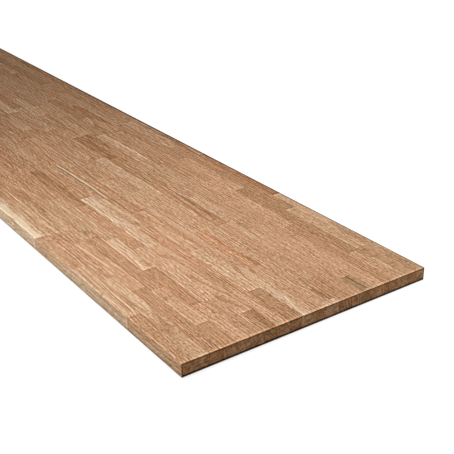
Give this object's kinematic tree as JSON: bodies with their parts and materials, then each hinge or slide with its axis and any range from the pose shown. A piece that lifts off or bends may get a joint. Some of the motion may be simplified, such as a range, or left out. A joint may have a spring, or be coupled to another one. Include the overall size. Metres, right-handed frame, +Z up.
{
  "type": "butcher block countertop",
  "caption": "Solid oak worktop of narrow staves glued edge to edge and butt-jointed end to end, square cut with lightly eased arrises.",
  "frame": {"origin": "middle of the underside", "axes": "+X along the length, towards the near end of the picture; +Y across the depth, from the front long side to the back one; +Z up, from the underside to the work surface"},
  "size_m": [3, 0.8, 0.038],
  "materials": {
    "oak_pale": "sanded, unoiled pale oak",
    "oak_tan": "sanded, unoiled tan oak",
    "oak_rose": "sanded, unoiled reddish oak",
    "oak_brown": "sanded, unoiled brown oak"
  },
  "bodies": {
    "root": {"stave_row_01": "oak_tan", "stave_row_02": "oak_tan", "stave_row_03": "oak_rose", "stave_row_04": "oak_rose", "stave_row_05": "oak_rose", "stave_row_06": "oak_pale", "stave_row_07": "oak_rose", "stave_row_08": "oak_tan", "stave_row_09": "oak_rose", "stave_row_10": "oak_tan", "stave_row_11": "oak_tan", "stave_row_12": "oak_tan", "stave_row_13": "oak_brown", "stave_row_14": "oak_tan", "stave_row_15": "oak_tan", "stave_row_16": "oak_rose", "stave_row_17": "oak_pale", "stave_row_18": "oak_brown", "stave_row_19": "oak_pale", "stave_row_20": "oak_brown"}
  },
  "joints": []
}
